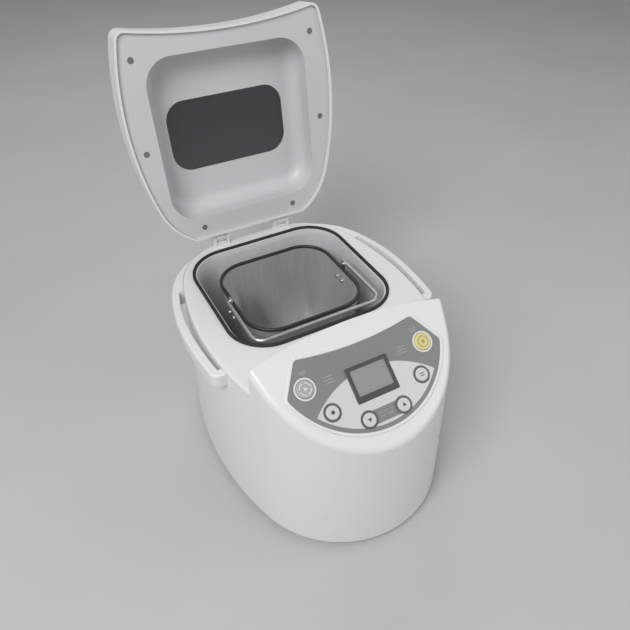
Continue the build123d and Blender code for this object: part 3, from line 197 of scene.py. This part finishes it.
def metal(name, colour, rough, tone, scale, relief, metallic=1.0):
    """Metal with a mottle in its tone and gloss."""
    mat, tree, shader, xyz = base_material(name)
    mottle = noise(tree, xyz, scale, detail=6.0, rough=METAL_NOISE_ROUGH)
    link(tree, tones(tree, mottle, colour, tone, tone * METAL_LIGHTER), shader.inputs["Base Color"])
    shader.inputs["Metallic"].default_value = metallic
    fine = noise(tree, xyz, scale * METAL_FINER, detail=4.0, rough=METAL_NOISE_ROUGH)
    uneven = remap(tree, fine, rough * METAL_GLOSSIEST, rough * METAL_DULLEST)
    link(tree, uneven, shader.inputs["Roughness"])
    bump(tree, shader, fine, relief)
    return mat


# The bread pan's metal

PAN_SATIN = (0.73, 0.73, 0.73)
PAN_BRUSHED = (0.66, 0.66, 0.665)
PAN_TONE = 0.05
PAN_STREAK_SCALE = 420.0
PAN_STREAK_ROUGH = 0.5
PAN_STREAK_STRETCH = (1.0, 1.0, 0.02)
PAN_METALLIC = 0.65
PAN_GLOSSIEST = 0.3
PAN_DULLEST = 0.36
# A wall looks inward where its normal times its place, in metres, is under this
PAN_INWARD = -0.001
# The floor is what looks up this steeply and lies this low, in metres above the pan's underside
PAN_FLOOR_UP = 0.6
PAN_FLOOR_REACH = 0.008


def pan_material(name, inside_low, centre):
    """Satin aluminium outside, with a slightly darker face inside and fine upright streaks."""
    mat, tree, shader, xyz = base_material(name)
    x, y, z = split(tree, xyz)
    geometry = tree.nodes.new("ShaderNodeNewGeometry")
    facing_x, facing_y, facing_z = split(tree, geometry.outputs["True Normal"])
    across = math_node(tree, "MULTIPLY", facing_x, x)
    along = math_node(tree, "MULTIPLY", facing_y, math_node(tree, "SUBTRACT", y, centre))
    wall_inside = math_node(tree, "LESS_THAN", math_node(tree, "ADD", across, along), PAN_INWARD)
    floor_up = math_node(tree, "GREATER_THAN", facing_z, PAN_FLOOR_UP)
    floor_low = math_node(tree, "LESS_THAN", z, inside_low)
    floor_inside = math_node(tree, "MULTIPLY", floor_up, floor_low)
    inside = math_node(tree, "MAXIMUM", wall_inside, floor_inside)
    streak = noise(tree, xyz, PAN_STREAK_SCALE, 1.0, PAN_STREAK_ROUGH, PAN_STREAK_STRETCH)
    satin = tones(tree, streak, PAN_SATIN, PAN_TONE, PAN_TONE)
    brushed = tones(tree, streak, PAN_BRUSHED, PAN_TONE, PAN_TONE)
    link(tree, mix_colour(tree, inside, satin, brushed), shader.inputs["Base Color"])
    shader.inputs["Metallic"].default_value = PAN_METALLIC
    link(tree, remap(tree, streak, PAN_GLOSSIEST, PAN_DULLEST), shader.inputs["Roughness"])
    return mat


# Glass

GLASS_SMEAR_SCALE = 14.0
GLASS_DARKER = 0.15
GLASS_GLOSSIEST = 0.6
GLASS_DULLEST = 1.5
GLASS_IOR = 1.5
GLASS_COAT = 0.4
GLASS_COAT_ROUGH = 0.03


def glass_material(name, colour, rough, alpha):
    """Tinted glass with a trace of smear in its gloss."""
    mat, tree, shader, xyz = base_material(name)
    smear = noise(tree, xyz, GLASS_SMEAR_SCALE, detail=5.0)
    link(tree, tones(tree, smear, colour, GLASS_DARKER, 0.0), shader.inputs["Base Color"])
    uneven = remap(tree, smear, rough * GLASS_GLOSSIEST, rough * GLASS_DULLEST)
    link(tree, uneven, shader.inputs["Roughness"])
    shader.inputs["Alpha"].default_value = alpha
    shader.inputs["IOR"].default_value = GLASS_IOR
    shader.inputs["Coat Weight"].default_value = GLASS_COAT
    shader.inputs["Coat Roughness"].default_value = GLASS_COAT_ROUGH
    return mat


# Rubber

RUBBER_BLOOM_SCALE = 60.0
RUBBER_LIGHTER = 0.9
RUBBER_GLOSSIEST = 0.85
RUBBER_DULLEST = 1.15
RUBBER_GRAIN_SCALE = 700.0
RUBBER_GRAIN = 0.12


def rubber(name, colour, rough):
    """Matt rubber with a dusty bloom."""
    mat, tree, shader, xyz = base_material(name)
    bloom = noise(tree, xyz, RUBBER_BLOOM_SCALE, detail=6.0)
    link(tree, tones(tree, bloom, colour, 0.0, RUBBER_LIGHTER), shader.inputs["Base Color"])
    uneven = remap(tree, bloom, rough * RUBBER_GLOSSIEST, rough * RUBBER_DULLEST)
    link(tree, uneven, shader.inputs["Roughness"])
    bump(tree, shader, noise(tree, xyz, RUBBER_GRAIN_SCALE, detail=3.0), RUBBER_GRAIN)
    return mat


# Looks by name; a name that isn't a slot of the record belongs to single pieces or to the printing

PLASTICS = {
    "white_gloss": dict(colour=(0.74, 0.745, 0.74), rough=0.3, tone=0.012, grain=0.01, coat=0.12),
    "white_satin": dict(colour=(0.72, 0.725, 0.72), rough=0.48, tone=0.04, grain=0.06),
    "liner_grey": dict(colour=(0.58, 0.59, 0.595), rough=0.38, tone=0.04, grain=0.04, coat=0.1),
    "panel_grey": dict(colour=(0.225, 0.228, 0.23), rough=0.46, tone=0.06, grain=0.1),
    "dark_plastic": dict(colour=(0.05, 0.051, 0.054), rough=0.42, tone=0.2, grain=0.08),
    "button_grey": dict(colour=(0.40, 0.405, 0.41), rough=0.34, tone=0.05, grain=0.03, coat=0.1),
    "button_yellow": dict(colour=(0.70, 0.62, 0.27), rough=0.32, tone=0.05, grain=0.03, coat=0.15),
    "coating_dark": dict(colour=(0.03, 0.03, 0.032), rough=0.36, tone=0.25, grain=0.08),
    "board_green": dict(colour=(0.03, 0.16, 0.07), rough=0.4, tone=0.12, grain=0.05),
    "button_pale": dict(colour=(0.62, 0.625, 0.62), rough=0.34, tone=0.05, grain=0.03, coat=0.1),
    "ring_dark": dict(colour=(0.13, 0.13, 0.135), rough=0.4, tone=0.12, grain=0.05),
    "ring_pale": dict(colour=(0.72, 0.72, 0.70), rough=0.34, tone=0.04, grain=0.03),
    "bezel_dark": dict(colour=(0.075, 0.076, 0.08), rough=0.4, tone=0.15, grain=0.06),
    "screw_grey": dict(colour=(0.17, 0.17, 0.175), rough=0.4, tone=0.1, grain=0.04),
    "print_dark": dict(colour=(0.09, 0.09, 0.095), rough=0.5, tone=0.1, grain=0.04),
    "print_pale": dict(colour=(0.38, 0.38, 0.38), rough=0.5, tone=0.06, grain=0.04),
    "stop_print": dict(colour=(0.42, 0.36, 0.13), rough=0.45, tone=0.08, grain=0.04),
}
# The silver inlay and the chamber's pale sheet look only a little metallic
FAINT = 0.25
METALS = {
    "panel_silver": dict(
        colour=(0.68, 0.685, 0.67), rough=0.42, tone=0.04, scale=700.0, relief=0.04, metallic=FAINT
    ),
    "chamber_metal": dict(
        colour=(0.80, 0.805, 0.815), rough=0.42, tone=0.08, scale=90.0, relief=0.05, metallic=FAINT
    ),
    "steel": dict(colour=(0.70, 0.70, 0.69), rough=0.34, tone=0.05, scale=30.0, relief=0.0),
    "cast_grey": dict(colour=(0.46, 0.46, 0.465), rough=0.5, tone=0.16, scale=320.0, relief=0.2),
}
GLASSES = {
    "display_clear": dict(colour=(0.36, 0.37, 0.365), rough=0.1, alpha=0.92),
    "window_glass": dict(colour=(0.04, 0.042, 0.045), rough=0.06, alpha=0.76),
}

pan_low, pan_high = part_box("bread_pan")
pan_centre_y = (pan_low.y + pan_high.y) / 2
pan_floor_top = pan_low.z + PAN_FLOOR_REACH

materials = {}
for make, looks in ((plastic, PLASTICS), (metal, METALS), (glass_material, GLASSES)):
    for name, look in looks.items():
        materials[name] = make(name, **look)
materials["black_rubber"] = rubber("black_rubber", colour=(0.014, 0.014, 0.015), rough=0.75)
materials["pan_metal"] = pan_material("pan_metal", pan_floor_top, pan_centre_y)


def paint(obj, mat):
    """Every slot of a node, or a new one, takes a material."""
    for entry in obj.material_slots:
        entry.material = mat
    if not obj.material_slots:
        obj.data.materials.append(mat)


node_look = {entry["node"]: entry["material_slot"] for entry in frame["record"]["subparts"]}
# Pieces whose colour isn't that of their slot
node_look.update(
    left_outer_button="button_pale",
    right_outer_button="button_pale",
    left_inner_button="button_pale",
    right_inner_button="button_pale",
    small_button_rings="ring_dark",
    large_button_rings="ring_pale",
    display_bezel="bezel_dark",
    lid_screws="screw_grey",
)
for name, obj in nodes.items():
    paint(obj, materials[node_look[name]])

# Printed marks on the sloped panel and its buttons, with lengths in metres and angles in degrees

PRINT_HEIGHT = 0.00015
SAME_FACE = 1e-5
ARC_STEP = 8.0
MARK = 0.0024
DOT_RADIUS = MARK * 0.8
DOT_SIDES = 16
PAUSE_WIDTH = MARK * 1.6
PAUSE_HEIGHT = MARK * 0.35
PAUSE_SIDE = MARK * 0.45
POINTS_RIGHT = 0
POINTS_UP = 90
POINTS_DOWN = -90
SQUARE_TURN = 45
START_RADIUS = 0.0052
START_WIDTH = 0.0009
START_ARCS = 4
START_GAP = 16
STOP_RADIUS = 0.0050
STOP_WIDTH = 0.0008
STOP_ARCS = 1
STOP_GAP = 1

press = next(j for j in frame["joints"] if j["name"] == "left_round_button_press")
panel_out = Vector(press["axis"]).normalized()
if panel_out.z < 0:
    panel_out = -panel_out
panel_right = Vector((1, 0, 0))
panel_up = panel_out.cross(panel_right)


def top_centre(name):
    """The middle of a panel piece's outermost face."""
    points = [v.co for v in nodes[name].data.vertices]
    reach = max(p.dot(panel_out) for p in points)
    face = [p for p in points if p.dot(panel_out) > reach - SAME_FACE]
    low = Vector((min(p.dot(a) for p in face) for a in (panel_right, panel_up)))
    high = Vector((max(p.dot(a) for p in face) for a in (panel_right, panel_up)))
    middle = (low + high) / 2
    return panel_right * middle[0] + panel_up * middle[1] + panel_out * reach


def printed(name, centre, outlines, body, look):
    """Thin raised shapes on the panel; each outline is a loop of right and up distances."""
    mesh = bmesh.new()
    for outline in outlines:
        low = [mesh.verts.new(centre + panel_right * u + panel_up * v) for u, v in outline]
        high = [mesh.verts.new(v.co + panel_out * PRINT_HEIGHT) for v in low]
        mesh.faces.new(high)
        mesh.faces.new(list(reversed(low)))
        for i in range(len(low)):
            j = (i + 1) % len(low)
            mesh.faces.new((low[i], low[j], high[j], high[i]))
    data = bpy.data.meshes.new(name)
    mesh.to_mesh(data)
    mesh.free()
    obj = bpy.data.objects.new(name, data)
    scene.collection.objects.link(obj)
    obj.data.materials.append(materials[look])
    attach(obj, body)


def bar(u, v, width, height):
    """A small upright rectangle."""
    return [
        (u - width / 2, v - height / 2),
        (u + width / 2, v - height / 2),
        (u + width / 2, v + height / 2),
        (u - width / 2, v + height / 2),
    ]


def on_circle(radius, angles):
    """Points on a circle about the mark's middle."""
    return [(radius * math.cos(a), radius * math.sin(a)) for a in angles]


def polygon(radius, sides, turn):
    """A regular polygon, turned by an angle."""
    return on_circle(radius, [math.radians(turn + 360 * i / sides) for i in range(sides)])


def ring_parts(radius, width, parts, gap):
    """A ring cut into arcs, with a gap after each."""
    loops = []
    sweep = 360 / parts - gap
    steps = round(sweep / ARC_STEP)
    for i in range(parts):
        start = 360 / parts * i + gap / 2
        angles = [math.radians(start + sweep * k / steps) for k in range(steps + 1)]
        loops.append(on_circle(radius + width, angles) + on_circle(radius, reversed(angles)))
    return loops


button_marks = {
    "left_outer_button": [polygon(DOT_RADIUS, DOT_SIDES, turn=0)],
    "right_outer_button": [bar(0, v, PAUSE_WIDTH, PAUSE_HEIGHT) for v in (PAUSE_SIDE, -PAUSE_SIDE)],
    "left_inner_button": [polygon(MARK, 3, POINTS_DOWN)],
    "right_inner_button": [polygon(MARK, 3, POINTS_UP)],
}
for name, outlines in button_marks.items():
    printed(name + "_mark", top_centre(name), outlines, name + "_body", "print_dark")
start_mark = ring_parts(START_RADIUS, START_WIDTH, START_ARCS, START_GAP)
start_mark.append(polygon(MARK, 3, POINTS_RIGHT))
start_place = top_centre("left_round_button")
printed("start_mark", start_place, start_mark, "left_round_button_body", "ring_pale")
stop_mark = ring_parts(STOP_RADIUS, STOP_WIDTH, STOP_ARCS, STOP_GAP)
stop_mark.append(polygon(MARK, 4, SQUARE_TURN))
stop_place = top_centre("right_round_button")
printed("stop_mark", stop_place, stop_mark, "right_round_button_body", "stop_print")

# Short printed strokes on the panel, in metres, where the photo shows words too small to read

STROKE = 0.0007
STRIP_SHORT = 0.0034
STRIP_SHORT_PITCH = 0.0062
STRIP_SHORT_RISE = 0.0022
STRIP_LONG = 0.0056
STRIP_LONG_SIDE = 0.0042
STRIP_LONG_RISE = -0.0014
LABEL_STROKE = 0.0008
LABEL_LONG = 0.008
LABEL_SHORT = 0.005
LABEL_SHORT_RISE = -0.0022
LABEL_RISE = 0.0155
LABEL_SHIFT = 0.004
MENU_ROW = 0.0095
MENU_SIDE = 0.040
MENU_RISES = (0.0175, 0.0145, 0.0115)

overlay_top = max(v.co.dot(panel_out) for v in nodes["panel_overlay"].data.vertices)


def on_overlay(point):
    """A point moved along the panel's normal to the grey overlay's height."""
    return point + panel_out * (overlay_top - point.dot(panel_out))


def strokes(name, place, outlines):
    """Pale printing on the fixed panel."""
    printed(name, on_overlay(place), outlines, "base", "print_pale")


strip_middle = (top_centre("left_inner_button") + top_centre("right_inner_button")) / 2
short_places = (-STRIP_SHORT_PITCH, 0.0, STRIP_SHORT_PITCH)
long_places = (-STRIP_LONG_SIDE, STRIP_LONG_SIDE)
strip_strokes = [bar(u, STRIP_SHORT_RISE, STRIP_SHORT, STROKE) for u in short_places]
strip_strokes += [bar(u, STRIP_LONG_RISE, STRIP_LONG, STROKE) for u in long_places]
strokes("strip_print", strip_middle, strip_strokes)
label = [bar(0, 0, LABEL_LONG, LABEL_STROKE), bar(0, LABEL_SHORT_RISE, LABEL_SHORT, LABEL_STROKE)]
for name in ("left_round_button", "right_round_button"):
    cap = top_centre(name)
    inward = panel_right * math.copysign(LABEL_SHIFT, -cap.x)
    strokes(name + "_label", cap + panel_up * LABEL_RISE + inward, label)
menu_rows = [bar(u, v, MENU_ROW, STROKE) for u in (-MENU_SIDE, MENU_SIDE) for v in MENU_RISES]
strokes("menu_print", top_centre("display_bezel"), menu_rows)

# Floor and sky

FLOOR_SIZE = 12.0
FLOOR_GREY = (0.5, 0.5, 0.5)
FLOOR_TONE = 0.04
FLOOR_NOISE_SCALE = 3.0
FLOOR_ROUGH = 0.7
SKY_COLOUR = (1.0, 1.0, 1.0, 1.0)
SKY_STRENGTH = 0.32

bpy.ops.mesh.primitive_plane_add(size=FLOOR_SIZE, location=(0, 0, 0))
floor = bpy.context.object
floor.name = "floor"
floor_mat, floor_tree, floor_shader, floor_xyz = base_material("floor_pale")
floor_noise = noise(floor_tree, floor_xyz, FLOOR_NOISE_SCALE, detail=4.0)
floor_tint = tones(floor_tree, floor_noise, FLOOR_GREY, FLOOR_TONE, FLOOR_TONE)
link(floor_tree, floor_tint, floor_shader.inputs["Base Color"])
floor_shader.inputs["Roughness"].default_value = FLOOR_ROUGH
floor.data.materials.append(floor_mat)

world = bpy.data.worlds.new("studio")
world.use_nodes = True
sky = world.node_tree.nodes["Background"]
sky.inputs["Color"].default_value = SKY_COLOUR
sky.inputs["Strength"].default_value = SKY_STRENGTH
scene.world = world

# Lamps, in metres and watts


def area(name, place, target, size, power):
    """A soft square lamp aimed at a point."""
    data = bpy.data.lights.new(name, "AREA")
    data.size = size
    data.energy = power
    lamp = bpy.data.objects.new(name, data)
    lamp.location = place
    lamp.rotation_mode = "QUATERNION"
    lamp.rotation_quaternion = (Vector(target) - Vector(place)).to_track_quat("-Z", "Y")
    scene.collection.objects.link(lamp)


area("key", place=(-1.0, -0.7, 1.5), target=(0, 0, 0.15), size=0.9, power=23.0)
area("fill", place=(1.3, -0.8, 0.9), target=(0, 0, 0.15), size=1.2, power=6.0)
area("back", place=(0.3, 1.3, 1.5), target=(0, 0, 0.2), size=1.2, power=6.5)

# Camera, fitted to the photo: places in metres, lens and sensor in millimetres, roll in degrees

CAMERA_EYE = Vector((-0.2268, -0.4259, 0.6004))
CAMERA_LOOK = Vector((0.0232, 0.0390, 0.1416))
CAMERA_ROLL = -0.4
CAMERA_SENSOR = 36.0
CAMERA_LENS = 34.0
CAMERA_NEAR = 0.01
CAMERA_FAR = 50.0

camera_data = bpy.data.cameras.new("camera")
camera_data.sensor_width = CAMERA_SENSOR
camera_data.lens = CAMERA_LENS
camera_data.clip_start = CAMERA_NEAR
camera_data.clip_end = CAMERA_FAR
camera = bpy.data.objects.new("camera", camera_data)
aim = (CAMERA_LOOK - CAMERA_EYE).to_track_quat("-Z", "Y").to_matrix().to_4x4()
roll = Matrix.Rotation(math.radians(CAMERA_ROLL), 4, "Z")
camera.matrix_world = Matrix.Translation(CAMERA_EYE) @ aim @ roll
scene.collection.objects.link(camera)
scene.camera = camera
